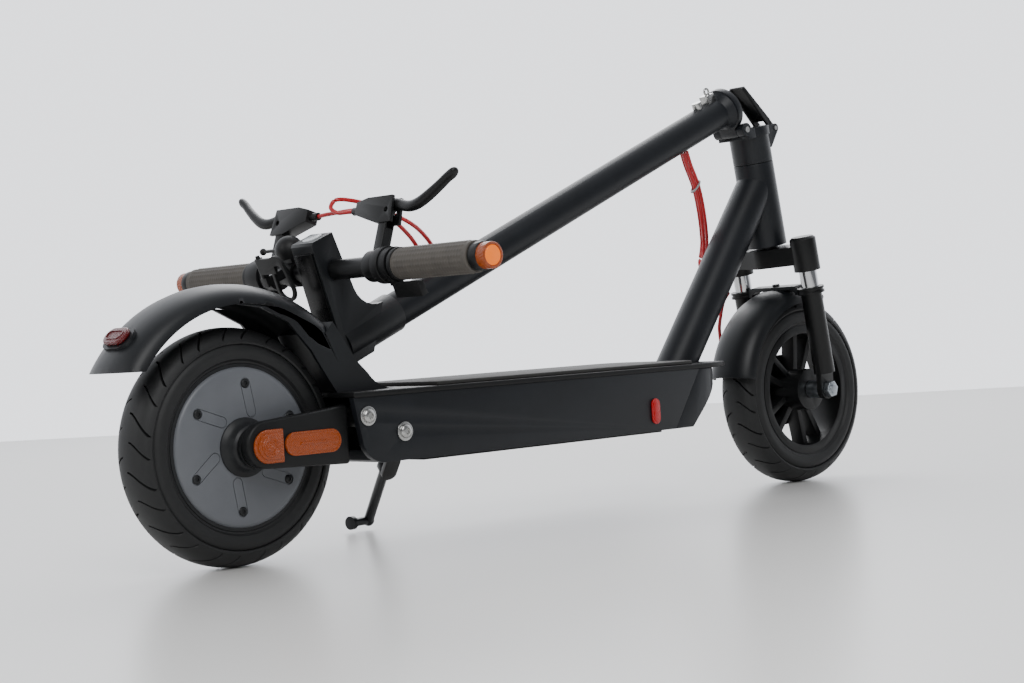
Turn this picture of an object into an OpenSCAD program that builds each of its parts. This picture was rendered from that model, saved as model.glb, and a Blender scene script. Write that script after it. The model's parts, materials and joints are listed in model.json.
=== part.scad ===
// Folding electric kick scooter, stored folded: +X forward, +Y left, +Z up, floor at z = 0

/* [Overall sizes] */
// Distance between the wheel axles
wheelbase = 925; // [860:1:990]
// Outer radius of both tyres
tyre_r = 125; // [122:0.5:128]
// Width of both tyres
tyre_w = 57; // [50:0.5:60]
// Width over the handlebar end lights
bar_span = 548; // [500:2:600]
// Length of the stem from its hinge plane to the handlebar
stem_len = 703; // [690:1:710]

/* [Frame] */
// Width of the deck side panels
deck_w = 160; // [150:1:170]
// Height of the underside of the deck shell
deck_bottom = 97; // [94:0.5:99]
// Height of the top of the deck shell
deck_top = 168; // [164:0.5:170]
// Wall of the deck shell
deck_wall = 4; // [3:0.5:6]
// Outer radius of the down tube
down_r = 25; // [22:0.5:27]
// Wall of the frame and stem tubes
tube_wall = 3; // [2:0.5:4]
// Outer radius of the head tube
head_r = 26.5; // [24:0.5:28]
// Rake of the steering axis from upright
rake = 10; // [9:0.5:11]
// Radius of the rear mudguard round the rear axle
guard_r = 170; // [168:0.5:172]
// Half width of the rear mudguard
guard_half = 44; // [42:0.5:46]
// Angle at which the rear mudguard ends behind the wheel
tail_a = 150; // [148:1:152]

/* [Fork and wheels] */
// Distance of each fork leg from the middle
leg_y = 58; // [56:0.5:60]
// Radius of the chromed fork tubes
stanchion_r = 12; // [11:0.25:12.5]
// Outer radius of the fork lower legs
leg_r = 14; // [13.5:0.25:14.5]
// Radius of the front axle
front_axle_r = 6; // [5:0.5:7]
// Radius of the rear axle
rear_axle_r = 8; // [7:0.5:9]
// Radius of the hub motor covers
cover_r = 83.5; // [80:0.5:84]
// Radius of the wheel rim flanges
rim_r = 87; // [86:0.5:88]
// Number of paired spokes in the front wheel
spoke_pairs = 5; // [3:1:6]
// Half of the distance between the swingarm plates
arm_in = 48; // [47:0.5:49]

/* [Stem and handlebar] */
// Outer radius of the stem tube
stem_r = 20; // [18:0.5:21]
// Angle between the folded stem and the steering axis
fold = 102.8; // [102:0.1:104]
// Distance of the stem hinge pin behind the steering axis
hinge_x = 31.8; // [31:0.1:33]
// Height of the stem hinge pin along the steering axis
hinge_z = 361; // [358:0.5:364]
// Radius of the handlebar
bar_r = 11; // [10.5:0.1:11.5]
// Radius of the grips
grip_r = 16.5; // [15.5:0.25:17.5]
// How far the handlebar stands in front of the stem axis
bar_x = 80; // [78:0.5:82]
// Half width of the cockpit casting
pod_half = 19; // [18:0.5:20]
// Tilt of the brake levers below the plane of the handlebar
lever_tilt = 40.7; // [36:0.1:44]

/* [Clearances] */
// Radial clearance of a turning fit
run_fit = 0.05; // [0.02:0.01:0.09]
// Radial clearance of a fixed fit
set_fit = 0.02; // [0.01:0.01:0.05]
// Gap between pieces that move past each other
side_gap = 0.5; // [0.4:0.1:0.8]

/* [Hidden] */
$fn = 64;
tail_len = guard_r * -cos(tail_a);
total_len = tail_len + wheelbase + tyre_r;
rear_x = tail_len - total_len / 2;
front_x = rear_x + wheelbase;
bar_end = bar_span / 2;
top_z = deck_top + 6;
cheek_y = deck_w / 2;
cheek_in = cheek_y - 8;
arm_th = 6;
arm_out = arm_in + arm_th;
pivot = [124, 148];
cross = [153, 150];
stay_bolt = [173, 128];
seat_z = 111;
leg_x = 4;
seal_z = 139.5;
crown_z = [172, 196.5];
clamp_z = [162, 205];
drop_in = leg_y - 4;
drop_out = leg_y + 4;
hub_half = 33;
down_tilt = 37.4;
down_foot = 697;
steerer_r = 14.3;
cup_r = head_r - 4.5;
cup_h = 12;
head_z = [200, 313];
collar_z = [head_z[1] + 0.6, hinge_z];
latch_pin = [38, hinge_z - 7];
latch_len = 77;
latch_lean = 39.8;
pad_a = 62;
neck_a = 48;
front_guard_r = 140;
kick_top = [263, 68, 79];
kick_foot = [287, 136, 12];
kick_turn = [0, 48.2, 76];
grip_in = 130;
grip_out = bar_end - 24;

function arc(c, r, a0, a1, n) =
  [for (i = [0:n]) let (a = a0 + (a1 - a0) * i / n) [c[0] + r * cos(a), c[1] + r * sin(a)]];
function sgn_pow(v, e) = v < 0 ? -pow(-v, e) : pow(v, e);
function flip(p) = [for (i = [len(p) - 1:-1:0]) [p[i][0], -p[i][1]]];

// Frames: base has x from the rear axle, axles sit at wheel height, steer leans with the fork
module base() translate([rear_x, 0, 0]) children();
module at_rear() translate([rear_x, 0, tyre_r]) children();
module at_front() translate([front_x, 0, tyre_r]) children();
module steer() at_front() rotate([0, -rake, 0]) children();
module stem() steer() translate([-hinge_x, 0, hinge_z]) rotate([0, -fold, 0])
  translate([hinge_x, 0, 0]) children();
module at_bar() stem() translate([bar_x, 0, stem_len]) children();
module at_lever() at_bar() rotate([0, lever_tilt, 0]) children();

module slab_y(w) rotate([90, 0, 0]) linear_extrude(w, center = true) children();
module between_y(y0, y1) translate([0, y1, 0]) rotate([90, 0, 0])
  linear_extrude(y1 - y0) children();
module cyl_y(r, h) rotate([90, 0, 0]) cylinder(r = r, h = h, center = true);
module rod_y(r, y0, y1) translate([0, y1, 0]) rotate([90, 0, 0]) cylinder(r = r, h = y1 - y0);
module tube_y(ro, ri, y0, y1) difference() {
  rod_y(ro, y0, y1);
  rod_y(ri, y0 - 1, y1 + 1);
}
module both_y() {
  children();
  mirror([0, 1, 0]) children();
}
module pill(w, h) {
  square([w - h, h], center = true);
  translate([(w - h) / 2, 0]) circle(h / 2);
  translate([-(w - h) / 2, 0]) circle(h / 2);
}

// Deck
function deck_side(x1, x2, z0) = concat(
  [[106, deck_top]], arc([146, z0 + 31], 31, 184, 262, 8),
  [[220, z0], [x1, z0], [x2, deck_top]]);
function nose_plan(x0, long, half) = concat(
  [[x0, -half]],
  [for (i = [0:24]) let (a = -90 + 7.5 * i)
    [640 + long * pow(max(cos(a), 0), 0.6), half * sgn_pow(sin(a), 0.8)]],
  [[x0, half]]);

module deck_shell() color([0.17, 0.18, 0.19]) base() {
  difference() {
    slab_y(deck_w) polygon(deck_side(602, 650, deck_bottom));
    translate([90, -cheek_in, 80]) cube([42, 2 * cheek_in, 100]);
    translate([130, -cheek_in, seat_z]) cube([58, 2 * cheek_in, 100]);
    translate([196, -cheek_y + deck_wall, deck_bottom + 4])
      cube([394, deck_w - 2 * deck_wall, 100]);
    translate([214, -62, deck_bottom - 10]) cube([366, 124, 20]);
    translate([pivot[0], 0, pivot[1]]) cyl_y(6 + set_fit, deck_w + 2);
    translate([stay_bolt[0], 0, stay_bolt[1]]) cyl_y(6 + set_fit, deck_w + 2);
  }
}
module top_plate() color([0.1, 0.1, 0.11]) base() translate([0, 0, deck_top]) difference() {
  linear_extrude(6) polygon(nose_plan(106, 96, cheek_y + 2));
  translate([100, -tyre_w / 2 - 6, -1]) cube([32, tyre_w + 12, 8]);
}
module deck_mat() color([0.36, 0.34, 0.33]) base()
  translate([0, 0, top_z]) linear_extrude(4.5)
    polygon(concat([[226, -cheek_y + 3]], arc([630, -50], 27, -90, 0, 6),
      arc([630, 50], 27, 0, 90, 6), [[226, cheek_y - 3]]));
module bottom_cover() color([0.12, 0.12, 0.13]) base() {
  translate([206, -69, deck_bottom - 3]) cube([382, 138, 3]);
}
module nose_block() color([0.17, 0.18, 0.19]) base() difference() {
  intersection() {
    slab_y(deck_w) polygon([[602, deck_bottom], [634, deck_bottom], [702, deck_top - 4],
      [702, deck_top], [650, deck_top]]);
    linear_extrude(400) polygon(nose_plan(500, 66, cheek_y));
  }
  translate([640, cheek_y - 13, 132]) cyl_y(9 + set_fit, 40);
}
module battery_pack() color([0.1, 0.25, 0.5]) base()
  translate([202, -68, deck_bottom + 5]) cube([262, 136, 54]);
module motor_controller() color([0.6, 0.6, 0.6]) base()
  translate([476, -45, deck_bottom + 5]) cube([100, 90, 38]);
module down_tube() color([0.17, 0.18, 0.19]) difference() {
  base() translate([down_foot, 0, top_z]) rotate([0, down_tilt, 0]) difference() {
    translate([0, 0, -40]) cylinder(r = down_r, h = 334);
    translate([0, 0, -50]) cylinder(r = down_r - tube_wall, h = 370);
    translate([0, 0, 151]) rod_y(10, 10, down_r + 5);
  }
  base() translate([500, -60, top_z - 100]) cube([400, 120, 100]);
  steer() cylinder(r = head_r, h = 500);
}
module head_tube() color([0.17, 0.18, 0.19]) steer() difference() {
  translate([0, 0, head_z[0]]) cylinder(r = head_r, h = head_z[1] - head_z[0]);
  translate([0, 0, head_z[0] - 1]) cylinder(r = cup_r, h = 200);
}
module headset_cups() color([0.3, 0.3, 0.32]) steer() {
  for (z = [head_z[0], head_z[1] - cup_h]) translate([0, 0, z]) difference() {
    cylinder(r = cup_r, h = cup_h);
    translate([0, 0, -1]) cylinder(r = steerer_r + run_fit, h = cup_h + 2);
  }
}
module head_badge() color([0.75, 0.76, 0.77]) steer() translate([0, 0, 226]) difference() {
  intersection() {
    cylinder(r = head_r + 3, h = 68);
    translate([15, -8, 0]) cube([30, 16, 68]);
  }
  translate([0, 0, -1]) cylinder(r = head_r, h = 70);
}
module red_lenses() color([0.85, 0.08, 0.09]) {
  base() both_y() translate([566, cheek_y, 121]) rotate([0, 90, 0])
    between_y(0, 2.5) pill(31, 14);
  at_rear() rotate([0, -136, 0]) translate([guard_r + 2, 0, 0]) rotate([0, 90, 0])
    rotate([0, 0, 90]) linear_extrude(5) pill(38, 21);
}
module deck_bolts() color([0.78, 0.78, 0.79]) base() both_y() {
  for (p = [pivot, stay_bolt]) translate([p[0], 0, p[1]]) {
    difference() {
      rod_y(8, cheek_y, cheek_y + 4.5);
      between_y(cheek_y + 1.5, cheek_y + 6) circle(3.2, $fn = 6);
    }
  }
  translate([pivot[0], 0, pivot[1]]) rod_y(6, arm_in - 1, cheek_y);
  translate([stay_bolt[0], 0, stay_bolt[1]]) rod_y(6, cheek_in, cheek_y);
}
module charge_port() color([0.08, 0.08, 0.08]) base() translate([640, 0, 132]) {
  rod_y(9, cheek_y - 25, cheek_y + 1);
  rod_y(12, cheek_y, cheek_y + 3);
}
module kickstand_bracket() color([0.1, 0.1, 0.1]) base() difference() {
  union() {
    translate([240, 32, deck_bottom - 7]) cube([40, 37, 4]);
    translate(kick_top) rotate(kick_turn) {
      translate([0, 0, -13]) cylinder(r = 9, h = 6.5);
      translate([-30, -9, -13]) cube([30, 18, 6.5]);
      translate([0, 0, -7]) cylinder(r = 4, h = 14);
    }
  }
  translate([200, 0, deck_bottom - 3]) cube([200, 100, 30]);
}
module rear_elastomer() color([0.1, 0.1, 0.1]) base()
  translate([cross[0], 0, seat_z]) cylinder(r = 9, h = cross[1] - 10.3 - seat_z);

// Rear mudguard: a channel bent round the axle, with its neck on the deck
function guard_side(r, deep, w) = [for (a = [-90:15:90])
  [r - deep + deep * pow(max(cos(a), 0), 0.9), w * sgn_pow(sin(a), 0.9)]];
module guard(r, half, wall, a0, a1) rotate([90, 0, 0]) rotate([0, 0, a0])
  rotate_extrude(angle = a1 - a0) polygon(concat(guard_side(r, 22, half),
    [for (p = guard_side(r - wall, 22 - wall, half - wall)) [p[0], -p[1]]]));
function round_rear(r, a) = [r * cos(a), tyre_r + r * sin(a)];
module rear_mudguard() color([0.17, 0.18, 0.19]) {
  difference() {
    at_rear() guard(guard_r, guard_half, 4, neck_a, tail_a + 8);
    at_rear() translate([-200, -60, -60]) cube([100, 120, 60 + guard_r * sin(tail_a)]);
  }
  base() slab_y(2 * guard_half) polygon(concat([round_rear(guard_r - 2, neck_a), [141, 207]],
    arc([192, top_z + 44], 44, 215, 270, 6),
    [[132, top_z], round_rear(guard_r - 18, neck_a)]));
  base() both_y() between_y(guard_half - 4, guard_half) polygon([round_rear(149, 95),
    round_rear(145, 82), round_rear(138, 67), round_rear(126, 49), round_rear(121, 35),
    [113, top_z], [134, top_z], round_rear(guard_r - 17, neck_a + 3), round_rear(150, 72)]);
  at_rear() rotate([0, -136, 0]) translate([guard_r - 8, 0, 0]) rotate([0, 90, 0])
    rotate([0, 0, 90]) linear_extrude(10) pill(46, 28);
  at_rear() rotate([0, -pad_a, 0]) translate([guard_r - 7, 9, -9]) cube([8.5, 20, 18]);
}
module mudguard_catch() color([0.6, 0.61, 0.62]) at_rear() rotate([0, -pad_a, 0])
  translate([guard_r + 1.5 + set_fit, 12, -5]) cube([7, 14, 10]);

// Kickstand, standing splayed to the left
module kickstand() color([0.1, 0.1, 0.11]) base() {
  d = kick_foot - kick_top;
  difference() {
    union() {
      translate(kick_top) rotate([0, atan2(norm([d[0], d[1]]), d[2]), atan2(d[1], d[0])])
        cylinder(r = 6, h = norm(d));
      translate(kick_top) rotate(kick_turn) translate([0, 0, -5]) cylinder(r = 9, h = 10);
    }
    translate(kick_top) rotate(kick_turn) cylinder(r = 4 + run_fit, h = 30, center = true);
  }
  translate(kick_foot) sphere(7);
  translate(kick_foot) rotate([0, -90, 8]) cylinder(r = 5, h = 28);
  translate(kick_foot) rotate([0, -90, 8]) translate([0, 0, 26]) cylinder(r = 8, h = 6);
}

// Rear wheel and its swingarm
module swingarm() color([0.11, 0.11, 0.12]) base() difference() {
  union() {
    both_y() between_y(arm_in, arm_out) hull() {
      translate([0, tyre_r]) circle(22);
      translate(pivot) circle(15);
      translate(cross) circle(13);
    }
    both_y() translate([pivot[0], 0, pivot[1]]) rod_y(12, arm_out - 1, cheek_in - side_gap);
    translate([cross[0], 0, cross[1]]) cyl_y(10, 2 * arm_in + 4);
  }
  translate([pivot[0], 0, pivot[1]]) cyl_y(6 + run_fit, deck_w);
  translate([0, 0, tyre_r]) cyl_y(rear_axle_r + set_fit, deck_w);
}
module arm_covers() color([0.07, 0.07, 0.07]) base() both_y() difference() {
  between_y(arm_out, 68) polygon(concat(arc([2, 127.5], 24.5, 90, 270, 16),
    [[107, 99], [107, 161]]));
  translate([0, 0, tyre_r]) rod_y(15, arm_out - 1, 65);
}
module amber_lenses() color([0.95, 0.5, 0.05]) base() both_y() {
  between_y(68, 74) polygon(concat(arc([1, 125.5], 17.3, 90, 270, 16),
    [[20, 108.2], [20, 142.8]]));
  translate([58.5, 0, 126.4]) between_y(68, 70.5) pill(71, 24);
}
module rear_axle() color([0.6, 0.6, 0.62]) at_rear() {
  cyl_y(rear_axle_r, 2 * arm_out + 18);
  both_y() between_y(arm_out, arm_out + 8) circle(13, $fn = 6);
}
module brake_caliper() color([0.12, 0.12, 0.13]) at_rear() rotate([0, -38, 0]) difference() {
  translate([38, 33, -16]) cube([30, arm_in - 33, 32]);
  translate([30, 37.5, -20]) cube([31, 4.5, 40]);
}
function tyre_skin(r, w, h) = concat(
  [for (i = [0:12]) let (a = 7.5 * i)
    [r - h + h * pow(cos(a), 0.8), w / 2 * pow(sin(a), 0.86)]],
  arc([r - h, w / 2 - 16], 16, 90, 142, 5));
module tyre() {
  outer = tyre_skin(tyre_r, tyre_w, 24);
  inner = tyre_skin(tyre_r - 7, tyre_w - 10, 20);
  rotate([90, 0, 0]) rotate_extrude() polygon(concat(
    flip(outer), outer, [[rim_r + 0.3, 24.6], [rim_r + 0.3, 20.5], [80.5, 20.5], [80.5, 14],
      [90, 16]], [for (i = [len(inner) - 3:-1:0]) inner[i]],
    [for (i = [1:len(inner) - 3]) [inner[i][0], -inner[i][1]]],
    [[90, -16], [80.5, -14], [80.5, -20.5], [rim_r + 0.3, -20.5], [rim_r + 0.3, -24.6]]));
}
module rim_ring(bed) rotate([90, 0, 0]) rotate_extrude() polygon([[bed, -25], [rim_r, -25],
  [rim_r, -20.9], [80.2, -20.9], [80.2, 20.9], [rim_r, 20.9], [rim_r, 25], [bed, 25]]);
module rear_tyre() color([0.1, 0.1, 0.11]) at_rear() tyre();
module hub_motor() color([0.13, 0.13, 0.14]) at_rear() rim_ring(61);
module motor_covers() color([0.2, 0.21, 0.22]) at_rear() both_y() difference() {
  union() {
    rod_y(cover_r, 25, 29);
    rod_y(24, 29, 32);
    rod_y(60, 22.9, 25);
  }
  rod_y(rear_axle_r + run_fit, 0, 60);
  for (i = [0:5]) rotate([0, 60 * i + 5, 0]) translate([0, 0, 66]) rod_y(5, 27, 30);
}
module cover_bolts() color([0.06, 0.06, 0.06]) at_rear() both_y()
  for (i = [0:5]) rotate([0, 60 * i + 5, 0]) translate([0, 0, 66]) difference() {
    rod_y(4.6, 27, 30.5);
    between_y(28.5, 32) circle(2.2, $fn = 6);
  }
module brake_rotor() color([0.65, 0.65, 0.66]) at_rear() difference() {
  union() {
    rod_y(60, 38.7, 40.8);
    rod_y(22, 32, 40.8);
  }
  rod_y(rear_axle_r + run_fit, 0, 60);
  for (i = [0:11]) rotate([0, 30 * i, 0]) translate([0, 0, 42]) rod_y(6, 38, 42);
}

// Steering: steerer, crown, chromed tubes and the collar that carries the stem
module steerer_tube() color([0.3, 0.3, 0.32]) steer() difference() {
  translate([0, 0, crown_z[1]]) cylinder(r = steerer_r, h = 348 - crown_z[1]);
  translate([0, 0, crown_z[1] - 1]) cylinder(r = steerer_r - 3, h = 200);
}
module fork_crown() color([0.1, 0.1, 0.11]) steer() difference() {
  union() {
    translate([0, 0, crown_z[0]]) linear_extrude(crown_z[1] - crown_z[0]) hull() {
      circle(25);
      translate([leg_x, leg_y]) circle(13);
      translate([leg_x, -leg_y]) circle(13);
    }
    both_y() translate([leg_x, leg_y, clamp_z[0]])
      cylinder(r = 17.5, h = clamp_z[1] - clamp_z[0]);
    both_y() translate([leg_x, leg_y, clamp_z[1]]) cylinder(r1 = 17.5, r2 = 14, h = 3);
  }
  both_y() translate([leg_x, leg_y, 100]) cylinder(r = stanchion_r + set_fit, h = 103);
}
module stanchions() color([0.82, 0.82, 0.83]) steer() both_y()
  translate([leg_x, leg_y, 52]) cylinder(r = stanchion_r, h = 151);
module stem_collar() color([0.17, 0.18, 0.19]) steer() difference() {
  union() {
    translate([0, 0, collar_z[0]]) cylinder(r = head_r, h = collar_z[1] - collar_z[0] - 0.3);
    translate([0, 0, hinge_z - 12]) cylinder(r = 28.5, h = 11.7);
    translate([-hinge_x, 0, hinge_z]) difference() {
      union() {
        cyl_y(9, 52);
        translate([0, -26, -13]) cube([16, 52, 12.7]);
      }
    }
    both_y() between_y(13, 17) hull() {
      translate(latch_pin) circle(6);
      translate([20, latch_pin[1] + 1]) square([4, 5]);
      translate([20, latch_pin[1] - 24]) square([4, 5]);
    }
  }
  translate([-hinge_x, 0, hinge_z]) cyl_y(4 + set_fit, 80);
  translate([-hinge_x, 0, hinge_z]) cyl_y(9 + side_gap, 28 + 2 * side_gap);
  translate([-hinge_x - 11, -14 - side_gap, hinge_z - 11])
    cube([12, 28 + 2 * side_gap, 30]);
  translate([0, 0, 300]) cylinder(r = steerer_r + set_fit, h = 48);
  translate([latch_pin[0], 0, latch_pin[1]]) cyl_y(3 + set_fit, 80);
}
module hinge_pin() color([0.7, 0.7, 0.72]) steer() {
  translate([-hinge_x, 0, hinge_z]) cyl_y(4, 54);
  translate([latch_pin[0], 0, latch_pin[1]]) cyl_y(3, 36);
}
module latch_lever() color([0.07, 0.07, 0.07]) steer()
  translate([latch_pin[0], 0, latch_pin[1]]) rotate([0, -latch_lean, 0]) difference() {
    union() {
      both_y() between_y(9, 12.5) polygon([[-4, -4], [5, -4], [6, 30], [6, latch_len],
        [2, latch_len], [-4, 8]]);
      translate([3, -12.5, 12]) cube([3, 25, latch_len - 12]);
    }
    cyl_y(3 + run_fit, 40);
  }

// Fork lower legs, which slide on the chromed tubes
module fork_lowers() color([0.1, 0.1, 0.11]) steer() difference() {
  union() {
    both_y() translate([leg_x, leg_y, 22]) cylinder(r = leg_r, h = 112);
    both_y() translate([leg_x, leg_y, 131]) cylinder(r = 18, h = 3);
    both_y() translate([leg_x, leg_y, 134]) cylinder(r = 16.5, h = 2.5);
    both_y() translate([leg_x, leg_y, 136.5]) cylinder(r = 18, h = 3);
    both_y() between_y(drop_in, drop_out) hull() {
      circle(13);
      translate([leg_x, 24]) circle(13);
    }
    translate([leg_x + 12.5, -leg_y, 122]) rotate([0, 90, 0]) cylinder(r = 4, h = 7);
  }
  both_y() translate([leg_x, leg_y, 30]) cylinder(r = stanchion_r + run_fit + 0.03, h = 120);
  cyl_y(front_axle_r + set_fit, 200);
}
module front_mudguard() color([0.13, 0.13, 0.14]) {
  at_front() guard(front_guard_r, 36, 3, 78, 170);
  steer() difference() {
    translate([leg_x - 9, 0, 0]) rotate([90, 0, 90]) linear_extrude(18) polygon([
      [-43, 131], [-43, 139], [-38, front_guard_r + 3], [38, front_guard_r + 3], [43, 139],
      [43, 131], [37, 131], [37, 134], [30, front_guard_r - 2], [-30, front_guard_r - 2],
      [-37, 134], [-37, 131]]);
    both_y() translate([leg_x, leg_y, 100]) cylinder(r = 18, h = 60);
  }
  steer() translate([leg_x, 0, front_guard_r + 2]) cylinder(r = 5, h = 4);
}
module front_axle() color([0.72, 0.73, 0.74]) steer() {
  cyl_y(front_axle_r, 2 * drop_out + 22);
  both_y() between_y(drop_out, drop_out + 9) circle(11, $fn = 6);
  rod_y(12, -drop_in, -hub_half - side_gap);
  rod_y(12, hub_half + 5, drop_in);
}
module drum_plate() color([0.2, 0.2, 0.21]) steer() difference() {
  union() {
    rod_y(44, hub_half + side_gap, hub_half + 5);
    rotate([0, -65, 0]) between_y(hub_half + 4, hub_half + 8) translate([-5, 18])
      square([10, 44]);
    rotate([0, 168, 0]) between_y(hub_half + 4, hub_half + 8) translate([-7, 20])
      square([14, 36]);
  }
  cyl_y(front_axle_r + set_fit, 200);
}
module front_tyre() color([0.1, 0.1, 0.11]) at_front() tyre();
module front_rim() color([0.1, 0.1, 0.11]) at_front() difference() {
  union() {
    rim_ring(76);
    rod_y(28, -hub_half, hub_half);
    rod_y(48, hub_half - 18, hub_half);
    for (i = [0:spoke_pairs - 1], s = [-1, 1]) rotate([0, 360 / spoke_pairs * i + 14, 0])
      rotate([0, 9 * s, 0]) translate([4 * s - 4, -9, 20]) cube([8, 20, 58.5]);
  }
  cyl_y(front_axle_r + run_fit, 100);
}

// Stem, drawn upright on its hinge plane
module stem_tube() color([0.17, 0.18, 0.19]) stem() difference() {
  union() {
    translate([0, 0, 0.3]) cylinder(r = stem_r, h = stem_len - 64.3);
    translate([0, 0, 0.3]) cylinder(r = 29.5, h = 9);
    translate([0, 0, 9]) cylinder(r1 = 27, r2 = stem_r, h = 10);
    translate([-hinge_x, 0, 0]) cyl_y(9, 28);
    translate([-hinge_x, -14, 0.3]) cube([14, 28, 8.7]);
  }
  translate([-hinge_x, 0, 0]) cyl_y(4 + run_fit, 80);
  translate([-hinge_x, 0, 0]) both_y() rod_y(9 + side_gap, 14, 40);
  translate([0, 0, 14]) cylinder(r = stem_r - tube_wall, h = 700);
  translate([-stem_r - 5, 0, 102]) rotate([0, 90, 0]) cylinder(r = 8, h = 14);
  translate([stem_r - 6, 0, stem_len - 150]) rotate([0, 90, 0]) cylinder(r = 8, h = 14);
}
module latch_bolt() color([0.75, 0.75, 0.76]) stem() difference() {
  latch_block();
  cylinder(r = stem_r + set_fit, h = 100);
}
module latch_block() {
  translate([stem_r - 1, -7, 19.5]) cube([11, 14, 14]);
  translate([stem_r + 14, 0, 24]) rotate([90, 0, 0]) rotate_extrude() translate([4, 0])
    circle(1.5);
  translate([stem_r - 1, 0, 50]) rotate([0, 90, 0]) cylinder(r = 6.5, h = 9);
}
module cockpit_casting() color([0.16, 0.17, 0.18]) stem() difference() {
  h = stem_len;
  union() {
    translate([0, 0, h - 64]) cylinder(r = stem_r + 2.5, h = 84);
    slab_y(2 * pod_half) polygon(concat([[-22, h - 8]], arc([-11, h + 19], 11, 180, 84, 5),
      [[116, h + 17.5], [118.7, h + 15], [118.7, h - 14], [62, h - 14]],
      arc([52, h - 44], 30, 90, 180, 6)));
  }
  translate([bar_x, 0, h]) cyl_y(bar_r + set_fit, 60);
  translate([0, 0, h - 70]) cylinder(r = stem_r - tube_wall, h = 60);
  translate([0, 0, h + 29.6]) rotate([0, 5.4, 0]) translate([4, -15.5, -1.5])
    cube([104, 31, 10]);
  translate([116, 0, h]) rotate([0, 90, 0]) cylinder(r = 11, h = 6);
}
module display_panel() color([0.02, 0.02, 0.03]) stem()
  translate([0, 0, stem_len + 29.6]) rotate([0, 5.4, 0]) translate([4.1, -15.4, -1.5])
    cube([103.8, 30.8, 2]);
module headlight_lens() color([0.85, 0.87, 0.9]) stem() translate([116, 0, stem_len])
  rotate([0, 90, 0]) cylinder(r = 10.9, h = 4);
module handlebar() color([0.07, 0.07, 0.07]) at_bar() {
  cyl_y(bar_r, 2 * bar_end - 24);
  both_y() rod_y(14.8, grip_out, bar_end - 12);
}
module grips() color([0.5, 0.48, 0.46]) at_bar() both_y() {
  tube_y(grip_r, bar_r + set_fit, grip_in, grip_out);
  tube_y(grip_r + 1.5, bar_r + set_fit, grip_in - 3, grip_in + 3);
}
module bar_lights() color([0.95, 0.55, 0.05]) at_bar() both_y()
  rod_y(13.6, bar_end - 12, bar_end);
module brake_mounts() color([0.1, 0.1, 0.11]) {
  at_bar() both_y() tube_y(17, bar_r + set_fit, 84, 101);
  at_lever() both_y() difference() {
    union() {
      translate([14, 86, -6]) cube([38, 13, 12]);
      translate([0, 0, -8]) linear_extrude(16) polygon([[46, 108], [76, 104], [76, 62],
        [72, 44], [58, 44], [46, 84]]);
      translate([65, 44, 0]) rotate([90, 0, 0]) cylinder(r = 4.5, h = 12);
    }
    translate([0, 0, -4.3]) linear_extrude(8.6) polygon([[40, 112], [80, 112], [80, 72],
      [52, 80], [52, 88], [40, 100]]);
    translate([60, 97, 0]) cylinder(r = 3 + run_fit, h = 40, center = true);
  }
}
module lever_blade() difference() {
  union() {
    translate([0, 0, -4]) linear_extrude(8) polygon([[68, 80], [68, 98], [62, 112], [57, 128],
      [62, 146], [74, 168], [90, 188], [98, 184], [86, 160], [76, 142], [71, 128], [73, 112],
      [73.5, 80]]);
    translate([60, 97, 0]) cylinder(r = 7, h = 8, center = true);
    translate([64, 94, -4]) cube([6, 14, 8]);
    translate([94, 186, 0]) cylinder(r = 6, h = 8, center = true);
  }
}
module lever_pin() translate([60, 97, 0]) cylinder(r = 3, h = 16, center = true);
module brake_lever_left() color([0.1, 0.1, 0.11]) at_lever() {
  lever_blade();
  lever_pin();
}
module brake_lever_right() color([0.1, 0.1, 0.11]) at_lever() mirror([0, 1, 0]) {
  lever_blade();
  lever_pin();
}
module throttle_paddle() color([0.08, 0.08, 0.08]) at_bar() difference() {
  union() {
    rod_y(18.5, -124, -113.5);
    translate([-34, -158, 2]) cube([18, 42, 8]);
    translate([-20, -124, 0]) cube([12, 10.5, 10]);
  }
  cyl_y(bar_r + run_fit, 400);
  rod_y(grip_r + 2.5, -200, -124.5);
}
module control_clamps() color([0.08, 0.08, 0.08]) at_bar() {
  tube_y(19.8, bar_r + set_fit, -113, -101.5);
  difference() {
    union() {
      rod_y(19.5, 102, 125);
      translate([-30, 103, -6]) cube([20, 21, 14]);
    }
    cyl_y(bar_r + set_fit, 400);
    translate([-31, 106, -3]) cube([5, 15, 8]);
  }
}
module turn_switch() color([0.7, 0.3, 0.05]) at_bar() {
  translate([-32.5, 110, -2.5]) cube([6, 7, 7]);
}
module bell() color([0.08, 0.08, 0.09]) at_bar() {
  tube_y(15, bar_r + set_fit, 44, 60);
  translate([13, 46, -6]) cube([9, 12, 10]);
  translate([21, 52, -3]) rotate([0, 90, 0]) rotate_extrude() polygon(concat(
    [[0, 0], [16.5, 0], [16.5, 6]], arc([0, 6], 16.5, 10, 80, 7), [[0, 22.5]]));
  translate([13, 56, -7]) cube([7.5, 22, 8]);
  translate([19, 70, -7]) cube([6.5, 8, 8]);
  translate([24, 74, -3]) rotate([0, 90, 0]) cylinder(r = 1.5, h = 8);
  translate([3, 47, 12]) cube([10.5, 10, 32]);
  translate([10, 52, 40]) rotate([0, 90, 0]) cylinder(r = 2.5, h = 29);
}
module bell_lever() color([0.08, 0.08, 0.09]) at_bar() difference() {
  union() {
    translate([26, 74, -3]) rotate([0, 90, 0]) cylinder(r = 4, h = 5);
    translate([27, 76, -5]) cube([3, 24, 4]);
    translate([28.5, 101, -3]) sphere(4);
    translate([26.5, 71, -5]) cube([4, 3, 4]);
  }
  translate([20, 74, -3]) rotate([0, 90, 0]) cylinder(r = 1.5 + run_fit, h = 20);
}
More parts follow.
